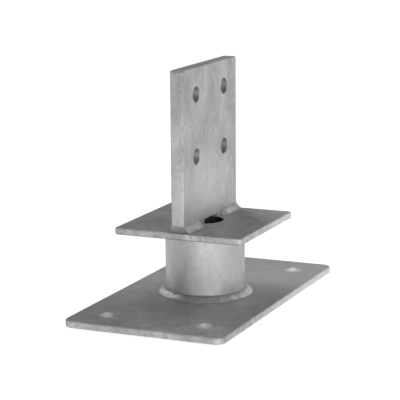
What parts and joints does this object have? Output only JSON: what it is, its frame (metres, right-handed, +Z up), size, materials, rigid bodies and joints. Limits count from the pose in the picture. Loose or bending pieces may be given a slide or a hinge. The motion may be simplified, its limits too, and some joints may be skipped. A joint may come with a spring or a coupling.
{
  "type": "timber post base",
  "caption": "Galvanised steel post base: a drilled base plate and short round tube carry a square seat plate with an upright drilled blade for a slotted timber post.",
  "frame": {"origin": "centre of the base plate's underside, on the tube's axis", "axes": "+Z up, +Y along the base plate's long side and along the blade, +X square to the blade"},
  "size_m": [0.125, 0.23, 0.18],
  "materials": {
    "galvanised_plate": "matt mottled hot-dip zinc over cut steel plate",
    "galvanised_blade": "matt mottled hot-dip zinc, paler with drained streaks",
    "galvanised_tube": "satin hot-dip zinc on round tube, with faint runs",
    "galvanised_weld": "matt zinc over rippled fillet weld"
  },
  "bodies": {
    "root": {"base_plate": "galvanised_plate", "spacer_tube": "galvanised_tube", "seat_plate": "galvanised_plate", "blade": "galvanised_blade", "foot_weld": "galvanised_weld", "head_weld": "galvanised_weld", "blade_weld_front": "galvanised_weld", "blade_weld_rear": "galvanised_weld"}
  },
  "joints": []
}
